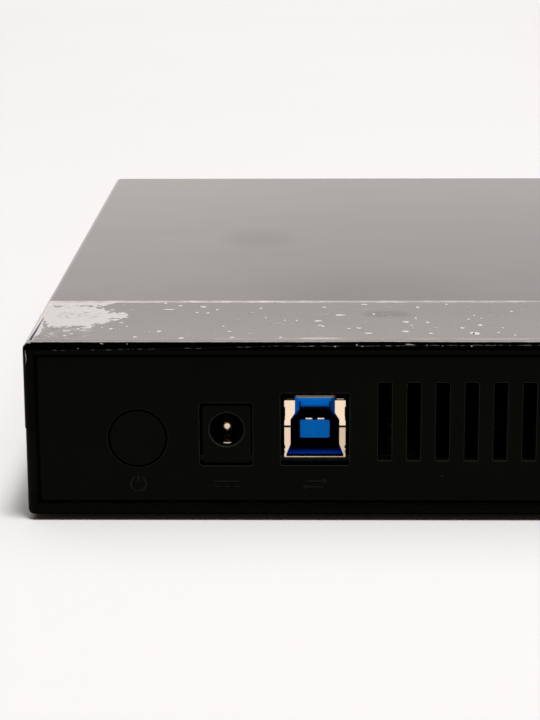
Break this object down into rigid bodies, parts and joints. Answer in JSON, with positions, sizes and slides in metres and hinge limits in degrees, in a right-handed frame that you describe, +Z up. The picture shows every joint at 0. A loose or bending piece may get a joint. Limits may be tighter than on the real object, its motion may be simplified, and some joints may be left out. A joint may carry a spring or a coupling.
{
  "type": "external hard drive enclosure",
  "caption": "Flat black enclosure for a 3.5 inch drive: lift-off cover, socket panel with power button, power and data sockets, vents, and the drive's connector inside.",
  "frame": {"origin": "centre of the footprint, on the surface that the feet stand on", "axes": "+Z up through the cover; +Y from the socket panel towards the lamp end, along the length; +X across the width"},
  "size_m": [0.12, 0.2, 0.0347],
  "materials": {
    "shell_matte": "moulded black plastic, fine texture",
    "cover_gloss": "polished black plastic",
    "panel_texture": "black plastic with a fine spark texture",
    "rubber": "matte",
    "screw_steel": "black zinc plated",
    "board_green": "solder mask over glass fibre board",
    "socket_metal": "nickel plated",
    "socket_blue": "moulded blue plastic",
    "gold_contact": "gold plated",
    "black_plastic": "moulded black plastic",
    "button_plastic": "black plastic with a fine texture",
    "white_plastic": "moulded natural nylon",
    "chip_epoxy": "moulded epoxy",
    "tinned_metal": "tinned",
    "can_metal": "drawn metal can",
    "ferrite": "moulded ferrite",
    "ceramic_tan": "fired body with tinned ends",
    "wire_red": "smooth insulation",
    "wire_black": "smooth insulation",
    "lamp_clear": "clear moulded resin",
    "foam": "closed-cell foam",
    "tape_film": "aged clear film"
  },
  "bodies": {
    "base": {"bottom_shell": "shell_matte", "rear_panel": "panel_texture", "front_panel": "panel_texture", "rubber_feet": "rubber", "cover_screws": "screw_steel", "circuit_board": "board_green", "board_screws": "screw_steel", "usb_socket_shell": "socket_metal", "usb_socket_insulator": "socket_blue", "usb_socket_contacts": "gold_contact", "dc_jack_body": "black_plastic", "dc_jack_pin": "socket_metal", "dc_jack_spring": "socket_metal", "power_switch_body": "black_plastic", "sata_connector_body": "black_plastic", "sata_contacts": "gold_contact", "bridge_chip": "chip_epoxy", "bridge_chip_leads": "tinned_metal", "flash_chip": "chip_epoxy", "flash_chip_leads": "tinned_metal", "crystal_can": "can_metal", "regulator_chip": "chip_epoxy", "inductor": "ferrite", "capacitor_cans": "can_metal", "capacitor_bases": "black_plastic", "chip_capacitors": "ceramic_tan", "lamp_header": "white_plastic", "lamp_plug": "white_plastic", "lamp_wire_red": "wire_red", "lamp_wire_black": "wire_black", "lamp_solder": "tinned_metal", "lamp_board": "board_green", "status_lamp": "lamp_clear", "lamp_lens": "lamp_clear", "drive_rest_pads": "foam"},
    "cover": {"top_cover": "cover_gloss", "clear_tape": "tape_film", "cover_foam_pads": "foam"},
    "power_button": {"power_button_cap": "button_plastic", "power_switch_plunger": "white_plastic"}
  },
  "joints": [
    {"name": "cover_lift", "type": "slide", "parent": "base", "child": "cover", "axis": [0, 0, 1], "range_m": [0, 0.05]},
    {"name": "power_button_press", "type": "slide", "parent": "base", "child": "power_button", "axis": [0, 1, 0], "range_m": [0, 0.0015], "stiffness_N_per_m": 1200}
  ]
}
